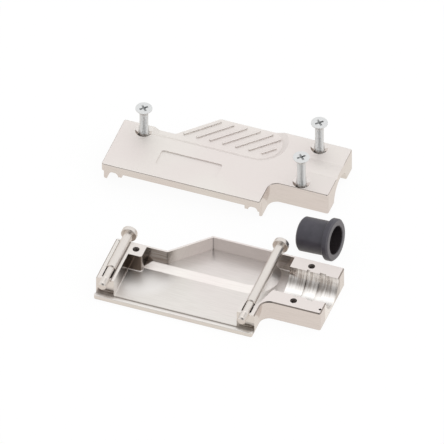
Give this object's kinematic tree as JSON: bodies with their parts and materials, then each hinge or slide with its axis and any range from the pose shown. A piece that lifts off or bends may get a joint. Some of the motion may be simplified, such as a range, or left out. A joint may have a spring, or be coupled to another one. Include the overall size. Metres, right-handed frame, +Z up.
{
  "type": "connector hood",
  "caption": "Two-part die-cast hood for a 25-way D-shaped connector, laid out open: tray-like base, ribbed cover, long jackscrews, countersunk case screws and a flanged cable ferrule.",
  "frame": {"origin": "middle of the open kit's box, on the surface that the pieces lie on", "axes": "+X along the connector edge towards the cable entry, +Y from the connector edge to the back, +Z up"},
  "size_m": [0.0886, 0.0862, 0.0193],
  "materials": {
    "plated_casting": "nickel plate on die-cast zinc, satin to bright",
    "jackscrew_steel": "nickel-plated turned steel",
    "zinc_steel": "bright zinc-plated steel",
    "ferrule_plastic": "matt dark grey moulded plastic"
  },
  "bodies": {
    "hood": {"lower_shell": "plated_casting", "upper_shell": "plated_casting", "case_screw_rear_left": "zinc_steel", "case_screw_rear_right": "zinc_steel", "case_screw_front_right": "zinc_steel", "cable_ferrule": "ferrule_plastic"},
    "left_jackscrew": {"jackscrew_left": "jackscrew_steel"},
    "right_jackscrew": {"jackscrew_right": "jackscrew_steel"}
  },
  "joints": [
    {"name": "jackscrew_left_turn", "type": "hinge", "parent": "hood", "child": "left_jackscrew", "pos_m": [-0.02527, -0.04171, 0.00737], "axis": [0, 1, 0], "continuous": true},
    {"name": "jackscrew_right_turn", "type": "hinge", "parent": "hood", "child": "right_jackscrew", "pos_m": [0.02177, -0.04171, 0.00737], "axis": [0, 1, 0], "continuous": true}
  ]
}
